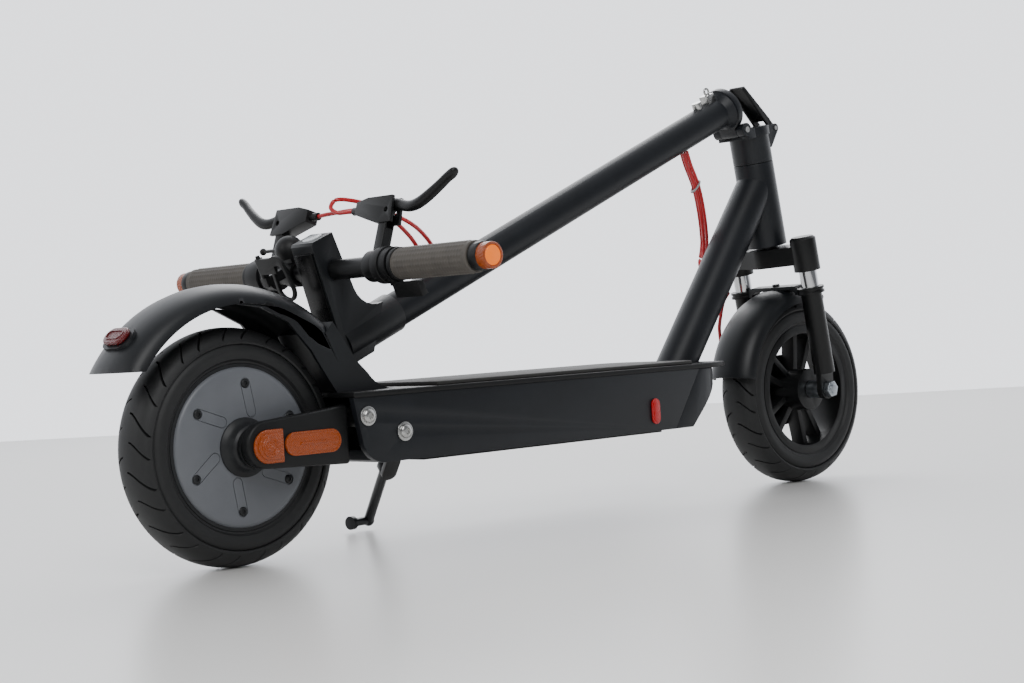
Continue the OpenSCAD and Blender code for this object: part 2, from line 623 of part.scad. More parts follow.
module stem_hook() color([0.09, 0.09, 0.1]) at_bar() difference() {
  union() {
    translate([0, 0, 41]) linear_extrude(3.5) difference() {
      hull() {
        translate([-1, 19]) circle(15);
        translate([26, 19]) circle(12);
      }
      hull() {
        translate([-1, 19]) circle(11);
        translate([18, 19]) circle(9);
      }
    }
    translate([18, 24, 41]) cube([18, 28, 3.5]);
    translate([14, 52, 40]) rotate([0, 90, 0]) cylinder(r = 4.5, h = 22);
  }
  translate([10, 52, 40]) rotate([0, 90, 0]) cylinder(r = 2.5 + run_fit, h = 40);
}

// Cables: tubes along a list of points
function unit(v) = v / norm(v);
function side_of(t) = unit(cross_of(t, abs(t[2]) < 0.9 ? [0, 0, 1] : [1, 0, 0]));
function cross_of(a, b) = [a[1] * b[2] - a[2] * b[1], a[2] * b[0] - a[0] * b[2],
  a[0] * b[1] - a[1] * b[0]];
function spline(p, n) = concat([for (i = [0:len(p) - 2], k = [0:n - 1]) let (t = k / n,
  a = p[max(i - 1, 0)], b = p[i], c = p[i + 1], d = p[min(i + 2, len(p) - 1)])
  0.5 * (2 * b + (c - a) * t + (2 * a - 5 * b + 4 * c - d) * t * t
    + (3 * b - a - 3 * c + d) * t * t * t)], [p[len(p) - 1]]);
module cord(points, r, steps = 5, sides = 10) {
  q = spline(points, steps);
  m = len(q);
  rings = [for (i = [0:m - 1]) let (t = unit(q[min(i + 1, m - 1)] - q[max(i - 1, 0)]),
    u = side_of(t), v = cross_of(t, u)) for (k = [0:sides - 1]) let (a = 360 * k / sides)
    q[i] + r * (cos(a) * u + sin(a) * v)];
  polyhedron(rings, concat([[for (k = [0:sides - 1]) k]],
    [[for (k = [sides - 1:-1:0]) (m - 1) * sides + k]],
    [for (i = [0:m - 2], k = [0:sides - 1]) let (a = i * sides + k,
      b = i * sides + (k + 1) % sides) [a, a + sides, b + sides, b]]), convexity = 6);
}
module lever_cables() color([0.85, 0.2, 0.22]) at_bar() {
  cord([[49.3, 31.6, -42.4], [50, 20, -43], [50, 0, -45], [48, -24, -52], [40, -46, -66],
    [12, -52, -94], [-20, -36, -122], [-44, -12, -142], [-58, 2, -151], [-63, 2.6, -152.5]], 2.4);
  cord([[49.3, -31.6, -42.4], [50, -22, -42], [52, -9, -38], [58, 2, -40], [63, 2, -50],
    [58, -8, -60], [46, -26, -70], [24, -38, -82], [-4, -34, -100], [-30, -20, -118],
    [-50, -8, -136], [-62, -2.6, -147.5]], 2.4);
}
hinge_path = [[732.7, 0, 445.6], [741, 1.5, 428], [761.7, 8, 400.3], [783, 20, 366],
  [799, 32, 335], [801, 35.5, 320], [794.5, 34, 303], [787, 24, 291]];
function beside(a, out) = [for (p = hinge_path) p + out * [0.9 * cos(a), sin(a), 0.4 * cos(a)]];
module hinge_cables() color([0.85, 0.2, 0.22]) base() {
  for (a = [90, 210, 330]) cord(beside(a, 4.5), 2.1, 4);
  cord(beside(30, 6.5), 1.2, 4);
}

deck_shell();
top_plate();
deck_mat();
bottom_cover();
nose_block();
battery_pack();
motor_controller();
down_tube();
head_tube();
headset_cups();
head_badge();
red_lenses();
deck_bolts();
rear_mudguard();
mudguard_catch();
charge_port();
kickstand_bracket();
rear_elastomer();
kickstand();
swingarm();
arm_covers();
amber_lenses();
rear_axle();
brake_caliper();
rear_tyre();
hub_motor();
motor_covers();
cover_bolts();
brake_rotor();
steerer_tube();
fork_crown();
stanchions();
stem_collar();
hinge_pin();
latch_lever();
fork_lowers();
front_mudguard();
front_axle();
drum_plate();
front_tyre();
front_rim();
stem_tube();
latch_bolt();
cockpit_casting();
display_panel();
headlight_lens();
handlebar();
grips();
bar_lights();
brake_mounts();
control_clamps();
throttle_paddle();
turn_switch();
brake_lever_right();
brake_lever_left();
bell();
bell_lever();
stem_hook();
lever_cables();
hinge_cables();
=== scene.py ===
# %% [markdown]
# A folded electric kick scooter, built around its CAD frame. Every cell after it either
# gives one of those parts its rounded edges and its finish, or models a finer piece that
# stands in for it. Lengths in the cells are millimetres, and become metres when a piece is
# put in its place.

# %% Load the CAD frame
import json
import math
import bmesh
import bpy
from mathutils import Matrix, Vector

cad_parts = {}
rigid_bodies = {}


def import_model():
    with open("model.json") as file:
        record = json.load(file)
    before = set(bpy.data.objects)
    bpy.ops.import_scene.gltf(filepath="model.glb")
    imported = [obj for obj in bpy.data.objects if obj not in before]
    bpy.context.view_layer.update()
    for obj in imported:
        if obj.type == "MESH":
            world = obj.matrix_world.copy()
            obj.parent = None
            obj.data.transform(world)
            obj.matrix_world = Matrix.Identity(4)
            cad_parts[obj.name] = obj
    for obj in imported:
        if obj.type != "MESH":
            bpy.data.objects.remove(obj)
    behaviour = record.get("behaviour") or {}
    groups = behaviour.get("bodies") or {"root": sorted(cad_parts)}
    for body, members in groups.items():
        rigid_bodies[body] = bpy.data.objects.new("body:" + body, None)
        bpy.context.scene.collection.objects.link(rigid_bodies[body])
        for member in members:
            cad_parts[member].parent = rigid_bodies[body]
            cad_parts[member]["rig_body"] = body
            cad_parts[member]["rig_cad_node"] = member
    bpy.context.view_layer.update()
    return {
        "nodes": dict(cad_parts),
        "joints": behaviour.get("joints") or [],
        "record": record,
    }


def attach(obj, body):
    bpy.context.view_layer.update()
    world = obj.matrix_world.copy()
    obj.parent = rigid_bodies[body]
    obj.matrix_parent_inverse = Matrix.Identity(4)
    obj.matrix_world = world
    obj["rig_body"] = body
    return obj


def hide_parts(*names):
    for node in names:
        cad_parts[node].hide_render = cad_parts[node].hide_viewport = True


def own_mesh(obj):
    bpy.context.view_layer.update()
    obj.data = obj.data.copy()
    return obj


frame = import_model()
MM = 0.001

# %% [markdown]
# Most pieces of a scooter are drawn square to a wheel, to the leaning fork or to the folded
# stem. A joint of the frame knows where each of those is, so the local frames come from the
# joints and not from numbers typed in twice.

# %% Local frames from the joints
joints = {j["name"]: j for j in frame["joints"]}


def at_joint(name):
    return Matrix.Translation(Vector(joints[name]["pos_m"]))


def turned(degrees, axis):
    return Matrix.Rotation(math.radians(degrees), 4, axis)


def moved(x, y, z):
    return Matrix.Translation(Vector((x, y, z)) * MM)


steer_axis = Vector(joints["steering"]["axis"])
rake = math.degrees(math.atan2(-steer_axis.x, steer_axis.z))
fold = joints["stem_fold"]["range_deg"][1]
bar_to_steer = -rake - fold
REAR = at_joint("rear_wheel_spin")
DECK = REAR @ Matrix.Translation((0, 0, -joints["rear_wheel_spin"]["pos_m"][2]))
FRONT = at_joint("steering")
BAR = at_joint("throttle") @ turned(bar_to_steer, "Y")
LEVER_TILT = 40.7
LEVER = BAR @ turned(LEVER_TILT, "Y")
print("rake", round(rake, 2), "fold", fold)

# %% [markdown]
# Blender's operators act on whatever is selected, so each step first clears the selection.
# A piece is finished by one helper: it scales millimetres to metres, puts the piece in its
# frame, applies that to the mesh, smooths the faces that meet gently, and hangs it on the
# CAD body it moves with.

# %% Selection and placing
def clear():
    if bpy.context.mode != "OBJECT":
        bpy.ops.object.mode_set(mode="OBJECT")
    bpy.ops.object.select_all(action="DESELECT")


def only(*pieces):
    clear()
    for piece in pieces:
        piece.select_set(True)
    bpy.context.view_layer.objects.active = pieces[0]
    return pieces[0]


def edit(piece, kind="VERT"):
    only(piece)
    bpy.ops.object.mode_set(mode="EDIT")
    bpy.ops.mesh.select_mode(type=kind)
    bpy.ops.mesh.select_all(action="DESELECT")


def pick(piece, kind, wanted):
    edit(piece, {"verts": "VERT", "edges": "EDGE", "faces": "FACE"}[kind])
    shape = bmesh.from_edit_mesh(piece.data)
    for part in getattr(shape, kind):
        if wanted(part):
            part.select_set(True)
    shape.select_flush_mode()
    bmesh.update_edit_mesh(piece.data)


def outward(piece):
    edit(piece)
    bpy.ops.mesh.select_all(action="SELECT")
    bpy.ops.mesh.remove_doubles(threshold=1e-4)
    bpy.ops.mesh.normals_make_consistent(inside=False)
    clear()
    return piece


def modify(piece, kind, **settings):
    only(piece)
    modifier = piece.modifiers.new(kind.title(), kind)
    for name, value in settings.items():
        setattr(modifier, name, value)
    bpy.ops.object.modifier_apply(modifier=modifier.name)
    return piece


def bevelled(piece, width, segments=3, angle=32):
    return modify(piece, "BEVEL", width=width, segments=segments, limit_method="ANGLE",
                  angle_limit=math.radians(angle), miter_outer="MITER_ARC")


def settle(piece, frame_of, body, slot, angle=32, replaces=(), finish=None):
    piece.matrix_world = frame_of @ Matrix.Scale(MM, 4) @ piece.matrix_world
    only(piece)
    bpy.ops.object.transform_apply(location=True, rotation=True, scale=True)
    bpy.ops.object.shade_smooth_by_angle(angle=math.radians(angle))
    piece.data.materials.clear()
    piece.data.materials.append(finish or finishes[slot])
    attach(piece, body)
    if replaces:
        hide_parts(*replaces)
    print(piece.name, len(piece.data.polygons), "faces on", body)
    return piece


def discard(*pieces):
    only(*pieces)
    bpy.ops.object.delete()


# %% [markdown]
# A colour picked from a paint chart is an sRGB hex value, while shaders add up light, which
# is linear. One function turns the first into the second. Another adds a node, sets it and
# links it, so that each finish below reads as a short recipe.

# %% Colours and nodes
def linear(code):
    parts = [int(code[i:i + 2], 16) / 255 for i in (1, 3, 5)]
    return tuple(p / 12.92 if p <= 0.04045 else ((p + 0.055) / 1.055) ** 2.4
                 for p in parts) + (1.0,)


def add(tree, kind, links=None, **settings):
    made = tree.nodes.new(kind)
    for name, value in settings.items():
        setattr(made, name, value)
    for name, value in (links or {}).items():
        if isinstance(value, bpy.types.NodeSocket):
            tree.links.new(value, made.inputs[name])
        else:
            made.inputs[name].default_value = value
    return made


def new_finish(name, **shader):
    finish = bpy.data.materials.new(name)
    finish.use_nodes = True
    tree = finish.node_tree
    tree.nodes.clear()
    body = add(tree, "ShaderNodeBsdfPrincipled", shader)
    out = add(tree, "ShaderNodeOutputMaterial")
    tree.links.new(body.outputs[0], out.inputs[0])
    where = add(tree, "ShaderNodeTexCoord")
    return finish, tree, body, where.outputs["Object"]


def per_mm(size):
    return 1 / (size * MM)


def grained(name, dark, light, rough, grain, depth, patch=40, **shader):
    """A coat whose colour drifts in patches, whose gloss varies and whose skin is grained."""
    finish, tree, body, place = new_finish(name, **shader)
    drift = add(tree, "ShaderNodeTexNoise", {"Vector": place, "Scale": per_mm(patch),
                                             "Detail": 5.0, "Roughness": 0.6})
    tone = add(tree, "ShaderNodeValToRGB", {"Fac": drift.outputs["Fac"]})
    tone.color_ramp.elements[0].position = 0.3
    tone.color_ramp.elements[1].position = 0.72
    tone.color_ramp.elements[0].color = linear(dark)
    tone.color_ramp.elements[1].color = linear(light)
    tree.links.new(tone.outputs["Color"], body.inputs["Base Color"])
    skin = add(tree, "ShaderNodeTexNoise", {"Vector": place, "Scale": per_mm(grain),
                                            "Detail": 3.0, "Roughness": 0.55})
    gloss = add(tree, "ShaderNodeMapRange", {"Value": drift.outputs["Fac"],
                "To Min": rough[0], "To Max": rough[1]})
    tree.links.new(gloss.outputs["Result"], body.inputs["Roughness"])
    bump = add(tree, "ShaderNodeBump", {"Height": skin.outputs["Fac"], "Strength": depth,
                                        "Distance": 0.0002})
    tree.links.new(bump.outputs["Normal"], body.inputs["Normal"])
    return finish


# %% [markdown]
# Satin powder coat on aluminium. Dry paint powder is baked on, so the skin is full and a
# little pebbled, like very fine orange peel about a millimetre across, and the sheen is
# broad. It is drawn as a dielectric coat, because the metal under it never shows.

# %% Powder coats and plastics
finishes = {}
finishes["frame_paint"] = grained("satin_powder_coat", "#14171b", "#191c21", (0.36, 0.46),
                                  1.1, 0.06, 60, IOR=1.42)
finishes["black_metal"] = grained("black_powder_coat", "#0a0b0c", "#0e0f10", (0.34, 0.46),
                                  0.9, 0.08, 45, IOR=1.42)
# Injection-moulded ABS with a fine spark-eroded grain: matt and even, with soft highlights.
finishes["black_plastic"] = grained("grained_abs", "#08090a", "#0c0d0e", (0.42, 0.56),
                                    0.6, 0.12, 35, IOR=1.42)
finishes["satin_plastic"] = grained("satin_polypropylene", "#111316", "#16191c", (0.36, 0.48),
                                    0.8, 0.08, 70, IOR=1.43)
finishes["grey_plastic"] = grained("light_nylon", "#8b8e90", "#9c9fa1", (0.4, 0.55),
                                   0.7, 0.1, 15, IOR=1.53)
finishes["battery_wrap"] = grained("battery_shrink_wrap", "#1d3f78", "#23498a", (0.2, 0.35),
                                   2.5, 0.15, 20, IOR=1.55)

# %% [markdown]
# Rubber. Road tyre rubber is carbon black with a dusty bloom, so it is dark, very rough and
# slightly uneven. The grip and the deck mat are softer compounds with more clay in them,
# which makes them grey-brown and duller still.

# %% Rubbers
finishes["tyre_rubber"] = grained("tyre_rubber", "#131415", "#1a1b1c", (0.5, 0.66),
                                  0.7, 0.25, 25, IOR=1.52)
finishes["grip_rubber"] = grained("grip_rubber", "#4a4641", "#57524c", (0.6, 0.75),
                                  0.5, 0.3, 12, IOR=1.5)
finishes["deck_rubber"] = grained("deck_mat_rubber", "#2c2b2a", "#353432", (0.62, 0.8),
                                  0.8, 0.4, 30, IOR=1.5)
finishes["elastomer"] = grained("elastomer", "#151515", "#1d1d1d", (0.5, 0.6), 0.8, 0.1, 10,
                                IOR=1.5)

# %% [markdown]
# Bare metals. Zinc plate and turned steel keep the default index of refraction and are
# fully metallic. Chrome is the smoothest, zinc is hazier with a faint blue cast.

# %% Metals
finishes["bright_steel"] = grained("turned_steel", "#b4b4b2", "#c9c9c7", (0.22, 0.34),
                                   0.5, 0.08, 6, Metallic=1.0)
finishes["zinc_steel"] = grained("zinc_plate", "#9aa2ab", "#c0c5c9", (0.24, 0.42),
                                 0.6, 0.12, 5, Metallic=1.0)
finishes["dark_steel"] = grained("blackened_steel", "#1b1c1e", "#26282a", (0.3, 0.42),
                                 0.8, 0.1, 20, Metallic=0.35)
finishes["chrome_tube"] = grained("hard_chrome", "#cfd0d2", "#dfe0e1", (0.05, 0.12),
                                  1.5, 0.02, 30, Metallic=1.0)
finishes["motor_steel"] = grained("painted_motor_steel", "#18191b", "#212325", (0.4, 0.5),
                                  1.0, 0.1, 30, Metallic=0.2)
# A die-cast cover under thin satin paint: the casting's slight waves stay in the skin.
finishes["cover_metal"] = grained("painted_casting", "#63666b", "#6c6f74", (0.34, 0.44),
                                  2.2, 0.1, 50, IOR=1.5)


# %% [markdown]
# Lens plastic. Reflectors are clear-dyed acrylic over thousands of cube corners. The cube
# corners are 2 mm across, and are drawn by a bump of crossed waves under a hard clear coat.
# Every lens also glows faintly in its glow colour, at the Emission Strength shine. On the lamps
# that glow is their own light; on the reflectors, which are no lamps, it is painted light standing
# in for the light they throw back.

# %% Lenses
def lens(name, colour, glow, cell=2.0, depth=0.8, shine=0.05):
    finish, tree, body, place = new_finish(name, **{
        "Base Color": linear(colour), "Roughness": 0.24, "IOR": 1.49, "Coat Weight": 0.2,
        "Coat Roughness": 0.05, "Emission Strength": shine, "Emission Color": linear(glow)})
    spin = add(tree, "ShaderNodeMapping", {"Vector": place,
               "Rotation": (math.radians(20), math.radians(45), 0.0)})
    cells = add(tree, "ShaderNodeTexVoronoi", {"Vector": spin.outputs["Vector"],
                "Scale": per_mm(cell), "Randomness": 0.15}, feature="F1")
    bump = add(tree, "ShaderNodeBump", {"Height": cells.outputs["Distance"],
               "Strength": depth, "Distance": 0.001})
    tree.links.new(bump.outputs["Normal"], body.inputs["Normal"])
    return finish


# red_lens covers only the deck reflectors, so its glow is all painted light. amber_lens covers the
# turn lamps and end light rims, where the glow is lamp light, and the arm reflectors, where it is
# painted light.
finishes["red_lens"] = lens("red_acrylic", "#b4060c", "#ff1418")
tail_red = lens("deep_red_acrylic", "#58050a", "#ff1418", shine=0.01)
finishes["amber_lens"] = lens("amber_acrylic", "#8e3c00", "#ff6a00")
lit_amber = lens("lit_amber_acrylic", "#f07800", "#ff7200", cell=1.6, depth=0.5, shine=0.5)
finishes["clear_lens"] = lens("clear_acrylic", "#c9ced2", "#ffffff", cell=3.0, depth=0.3)

# %% [markdown]
# The display face is smoked acrylic with a satin anti-glare skin, and black until it is lit.
# The cable housings are PVC: bright, smooth and faintly uneven where they bend.

# %% Gloss face and cable housings
finishes["display_gloss"] = grained("smoked_acrylic", "#040405", "#060607", (0.24, 0.32),
                                    3.0, 0.02, 30, IOR=1.3)
finishes["cable_red"] = grained("red_pvc", "#b01a20", "#c82228", (0.26, 0.38), 1.5, 0.1, 12,
                                IOR=1.53)
print(len(finishes), "finishes")

# %% [markdown]
# The CAD parts are exact but sharp. No cast or pressed edge is a true corner, and it is the
# narrow highlight on a rounded edge that makes a part read as solid. So each shown part is
# copied, its loose triangles are merged and flattened back to faces, and a bevel of about a
# millimetre is applied. The hidden CAD part stays behind for physics.

# %% Round the edges of the CAD parts
node_slot = {s["node"]: s["material_slot"] for s in frame["record"]["subparts"]}
node_body = {n: b for b, ns in frame["record"]["behaviour"]["bodies"].items() for n in ns}


def refine(node, width, segments=3, angle=30):
    source = frame["nodes"][node]
    only(source)
    bpy.ops.object.duplicate()
    copy = bpy.context.object
    copy.name = node + "_body"
    copy.parent = None
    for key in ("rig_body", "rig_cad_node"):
        if key in copy:
            del copy[key]
    edit(copy)
    bpy.ops.mesh.select_all(action="SELECT")
    bpy.ops.mesh.remove_doubles(threshold=2e-6)
    bpy.ops.mesh.customdata_custom_splitnormals_clear()
    if width:
        bpy.ops.mesh.dissolve_limited(angle_limit=math.radians(0.6))
        clear()
        bevelled(copy, width * MM, segments, angle)
    only(copy)
    bpy.ops.object.shade_smooth_by_angle(angle=math.radians(34))
    copy.data.materials.clear()
    copy.data.materials.append(finishes[node_slot[node]])
    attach(copy, node_body[node])
    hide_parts(node)
    return copy


rounding = {
    "deck_shell": 1.2, "top_plate": 1.6, "nose_block": 1.0, "head_tube": 0.6,
    "head_badge": 0.5, "rear_mudguard": 0.0, "mudguard_catch": 1.5, "charge_port": 1.0,
    "kickstand_bracket": 0.8, "kickstand": 0.8, "swingarm": 0.8, "arm_covers": 3.0,
    "rear_axle": 0.6, "brake_caliper": 1.5, "hub_motor": 0.5, "brake_rotor": 0.2,
    "fork_crown": 2.0, "stem_collar": 0.6, "latch_lever": 0.7, "fork_lowers": 0.8,
    "front_mudguard": 1.0, "front_axle": 0.6, "drum_plate": 1.0, "front_rim": 1.0,
    "stem_tube": 0.6, "latch_bolt": 0.5, "cockpit_casting": 0.5, "display_panel": 0.6,
    "handlebar": 1.5, "brake_mounts": 1.5, "control_clamps": 1.2,
    "throttle_paddle": 2.6, "turn_switch": 0.8, "bell": 0.8, "bell_lever": 0.6,
    "stem_hook": 0.8, "down_tube": 0.0, "stanchions": 0.6, "bottom_cover": 0.8,
    "deck_mat": 1.2, "lever_cables": 0.0, "hinge_cables": 0.0, "headlight_lens": 0.8,
}
for node, width in rounding.items():
    refine(node, width)
print(len(rounding), "CAD parts rounded")

# %% [markdown]
# The rubber block under the swingarm gives as the arm swings on the real scooter. Here it is only
# rounded like the other parts and given a mesh of its own; it does not deform.

# %% Round the rubber block
rubber = refine("rear_elastomer", 0.4)
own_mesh(rubber)

# %% [markdown]
# Round parts are turned, as on a lathe: one vertex is extruded from point to point along the
# half profile, and the wire is then spun about the axle. Flat parts are traced the same way,
# filled and given a thickness.

# %% Lathe and plate
def trace(name, points, closed=False):
    clear()
    bpy.ops.mesh.primitive_plane_add(size=1)
    wire = bpy.context.object
    wire.name = name
    edit(wire)
    bpy.ops.mesh.select_all(action="SELECT")
    bpy.ops.mesh.merge(type="CENTER")
    bpy.ops.transform.translate(value=points[0])
    for here, there in zip(points, points[1:]):
        step = [b - a for a, b in zip(here, there)]
        bpy.ops.mesh.extrude_region_move(TRANSFORM_OT_translate={"value": step})
    if closed:
        bpy.ops.mesh.select_all(action="SELECT")
        bpy.ops.mesh.edge_face_add()
    clear()
    return wire


def turned_piece(name, profile, steps=96, angle=360):
    """Spins (radius, along) points about the Y axis; a closed profile makes a closed ring."""
    wire = trace(name, [(r, y, 0) for r, y in profile])
    edit(wire)
    bpy.ops.mesh.select_all(action="SELECT")
    bpy.ops.mesh.spin(steps=steps, angle=math.radians(angle), center=(0, 0, 0),
                      axis=(0, -1, 0))
    clear()
    return outward(wire)


def plate(name, outline, thick):
    """A flat part in the XY plane, standing up from z = 0."""
    flat = trace(name, [(x, y, 0) for x, y in outline], closed=True)
    edit(flat)
    bpy.ops.mesh.select_all(action="SELECT")
    bpy.ops.mesh.extrude_region_move(TRANSFORM_OT_translate={"value": (0, 0, thick)})
    clear()
    return outward(flat)


def arc(cx, cy, radius, start, end, count):
    return [(cx + radius * math.cos(math.radians(start + (end - start) * i / count)),
             cy + radius * math.sin(math.radians(start + (end - start) * i / count)))
            for i in range(count + 1)]


def pill(long, wide, count=12):
    half = (long - wide) / 2
    return arc(half, 0, wide / 2, -90, 90, count) + arc(-half, 0, wide / 2, 90, 270, count)


def copied(piece, name, matrix=Matrix.Identity(4)):
    only(piece)
    bpy.ops.object.duplicate()
    twin = bpy.context.object
    twin.name = name
    twin.matrix_world = matrix @ twin.matrix_world
    only(twin)
    bpy.ops.object.transform_apply(location=True, rotation=True, scale=True)
    return outward(twin) if matrix.determinant() < 0 else twin


def mirrored(piece, name):
    return copied(piece, name, Matrix.Diagonal((1, -1, 1, 1)))


def joined(*pieces):
    only(*pieces)
    bpy.ops.object.join()
    return bpy.context.object


def cut(piece, tool, keep="DIFFERENCE"):
    modify(piece, "BOOLEAN", operation=keep, object=tool, solver="EXACT")
    discard(tool)
    return piece


def stand_y(piece):
    """Turns a plate from the XY plane to the XZ plane, rising along -Y."""
    piece.matrix_world = turned(90, "X") @ piece.matrix_world
    only(piece)
    bpy.ops.object.transform_apply(location=True, rotation=True, scale=True)
    return piece


# %% [markdown]
# Tyres. A road tyre has a round tread cut by curved sipes that carry water out to the
# shoulder, a step where the tread ends, and a full sidewall ring. The body is turned from
# its section. One sipe blade is modelled, copied round both shoulders, and cut away.

# %% Model the tyre
SIPES = 26


def tyre_section():
    crown = [(101 + 24 * math.cos(math.radians(a)) ** 0.8,
              28 * math.sin(math.radians(a)) ** 0.86) for a in range(0, 64, 7)]
    shoulder = [(110.8, 26.6), (109.2, 27.2), (108.2, 26.6), (107.2, 26.5)]
    ring = arc(99.2, 18.8, 9.6, 38, 100, 7)
    bead = [(91.6, 27.4), (90.2, 25.6), (89.4, 24.8), (87.4, 24.4), (87.4, 21.2)]
    return crown + shoulder + ring + bead


def sipe_blade():
    route = []
    for i in range(10):
        t = i / 9
        turn = math.radians(11.5 * t ** 1.7)
        across = 2.5 + 23.5 * t
        reach = 121.5 - 15.5 * t ** 2.6
        route.append((reach * math.cos(turn), across, reach * math.sin(turn)))
    blade = trace("sipe_blade", route)
    edit(blade)
    bpy.ops.mesh.select_all(action="SELECT")
    bpy.ops.mesh.extrude_region_move(TRANSFORM_OT_translate={"value": (12, 0, 0)})
    clear()
    modify(blade, "SOLIDIFY", thickness=2.1, offset=0)
    return outward(blade)


def tyre(name):
    half = tyre_section()
    wall = half + [(r, -y) for r, y in reversed(half)][:-1]
    body = turned_piece(name, wall + [wall[0]], steps=120)
    blade = sipe_blade()
    blades = []
    for i in range(SIPES):
        size = 1.0 if i % 2 else 0.8
        tilt = turned(-360 / SIPES * i, "Y")
        pulled_out = Matrix.Translation((0, 26 * (1 - size), 0))
        shorter = pulled_out @ Matrix.Diagonal((1, size, size, 1))
        blades.append(copied(blade, "sipe", tilt @ shorter))
        other = turned(-360 / SIPES * (i + 0.5), "Y") @ Matrix.Diagonal((1, -1, 1, 1))
        blades.append(copied(blade, "sipe", other @ shorter))
    discard(blade)
    return cut(body, joined(*blades))


rear_tyre = tyre("rear_tyre_tread")
front_tyre = copied(rear_tyre, "front_tyre_tread")
settle(rear_tyre, REAR, "rear_wheel", "tyre_rubber", replaces=["rear_tyre"])
settle(front_tyre, FRONT @ turned(17, "Y"), "front_wheel", "tyre_rubber",
       replaces=["front_tyre"])

# %% [markdown]
# Hub motor covers. Each is a cast disc, slightly dished, with a raised boss round the axle
# and a soft round rim. Six shallow slots are pressed round the bolts; each one leans the
# same way. The slot outlines are grooves, cut by thin pill-shaped rings.

# %% Model the motor covers
BOLT_RING = 66
BOLTS = 6
BOLT_START = 5
SLOT_LEAN = 75


def pill_ring(name, long, wide, line, deep):
    ring = trace(name, [(x, y, 0) for x, y in pill(long, wide)], closed=True)
    edit(ring, "FACE")
    bpy.ops.mesh.select_all(action="SELECT")
    bpy.ops.mesh.inset(thickness=line)
    bpy.ops.mesh.delete(type="FACE")
    bpy.ops.mesh.select_all(action="SELECT")
    bpy.ops.mesh.extrude_region_move(TRANSFORM_OT_translate={"value": (0, 0, deep)})
    clear()
    return outward(ring)


cover = turned_piece("motor_cover_left", [
    (8.2, 24), (8.2, 33), (9, 34), (17, 34), (19.5, 33.2), (20.5, 31.6), (26, 30.4),
    (34, 29.7), (48, 29.2), (62, 29), (74, 28.8), (79, 28.4), (81.6, 27.4), (83, 25.8),
    (83.4, 24.2), (60, 24), (60, 23), (30, 23), (8.2, 24)], steps=144)
grooves = []
for i in range(BOLTS):
    angle = 360 / BOLTS * i + BOLT_START
    ring = pill_ring("slot", 42, 12, 0.7, 3)
    place = turned(angle, "Y") @ Matrix.Translation((3.9, 30.6, 51.5))
    lying = turned(SLOT_LEAN, "Y") @ turned(90, "X")
    grooves.append(copied(ring, "slot_cut", place @ lying))
    discard(ring)
cut(cover, joined(*grooves))
pockets = []
for i in range(BOLTS):
    clear()
    bpy.ops.mesh.primitive_cylinder_add(vertices=32, radius=5.2, depth=6, location=(0, 31, 66),
                                        rotation=(math.radians(90), 0, 0))
    plug = bpy.context.object
    pockets.append(copied(plug, "pocket", turned(360 / BOLTS * i + BOLT_START, "Y")))
    discard(plug)
cut(cover, joined(*pockets))
hub_boss = bevelled(turned_piece("hub_boss_left", [
    (8.4, 33.4), (8.4, 45.5), (20, 45.5), (23, 43), (24.5, 38), (27, 34.6), (31, 32.2),
    (31, 30.2), (20, 33.4), (8.4, 33.4)], steps=72), 0.5, 2)
settle(mirrored(hub_boss, "hub_boss_right"), REAR, "rear_wheel", "motor_steel")
settle(hub_boss, REAR, "rear_wheel", "motor_steel")
cover_right = mirrored(cover, "motor_cover_right")
settle(cover, REAR, "rear_wheel", "cover_metal", replaces=["motor_covers"])
settle(cover_right, REAR, "rear_wheel", "cover_metal", replaces=["motor_covers"])

# %% [markdown]
# Socket bolts. A button-head bolt is a low dome with a six-sided socket. One is turned and
# its socket cut, and the bolts of the motor covers and of the deck are copies of it at two
# sizes. The deck bolts sit on a separate washer.

# %% Model the bolts
def socket_bolt(name, radius, height, shank):
    profile = [(0.01, -shank), (radius * 0.55, -shank), (radius * 0.55, 0), (radius, 0)]
    profile += [(radius * math.sin(math.radians(a)),
                 height * (0.35 + 0.65 * math.cos(math.radians(a)))) for a in (90, 75, 60, 45, 30)]
    profile += [(0.01, height * 0.98)]
    bolt = turned_piece(name, profile, steps=40)
    clear()
    bpy.ops.mesh.primitive_cylinder_add(vertices=6, radius=radius * 0.52, depth=height * 1.2,
                                        location=(0, height, 0),
                                        rotation=(math.radians(90), 0, 0))
    return cut(bolt, bpy.context.object)


cover_bolt = socket_bolt("cover_bolt", 4.6, 2.2, 1.5)
for side, face in (("left", 1), ("right", -1)):
    for i in range(BOLTS):
        spot = turned(360 / BOLTS * i + BOLT_START, "Y") @ Matrix.Translation((0, 28, 66))
        flip = Matrix.Diagonal((1, face, 1, 1))
        bolt = copied(cover_bolt, f"cover_bolt_{side}_{i}", flip @ spot)
        settle(bolt, REAR, "rear_wheel", "motor_steel", replaces=["cover_bolts"])
discard(cover_bolt)

deck_bolt = socket_bolt("deck_bolt", 7.6, 4.4, 26)
washer = bevelled(turned_piece("deck_washer", [(4.3, 0), (10.4, 0), (10.4, 1.5), (4.3, 1.5),
                                               (4.3, 0)], steps=48), 0.4)
for side, face in (("left", 1), ("right", -1)):
    for name, x, z in (("pivot", 124, 148), ("stay", 173, 128)):
        flip = Matrix.Diagonal((1, face, 1, 1))
        spot = flip @ Matrix.Translation((x, 80, z))
        bolt = copied(deck_bolt, f"deck_bolt_{name}_{side}",
                      flip @ Matrix.Translation((x, 81.5, z)) @ turned(17, "Y"))
        ring = copied(washer, f"deck_washer_{name}_{side}", spot)
        settle(bolt, DECK, "frame", "bright_steel", replaces=["deck_bolts"])
        settle(ring, DECK, "frame", "bright_steel")
discard(deck_bolt, washer)

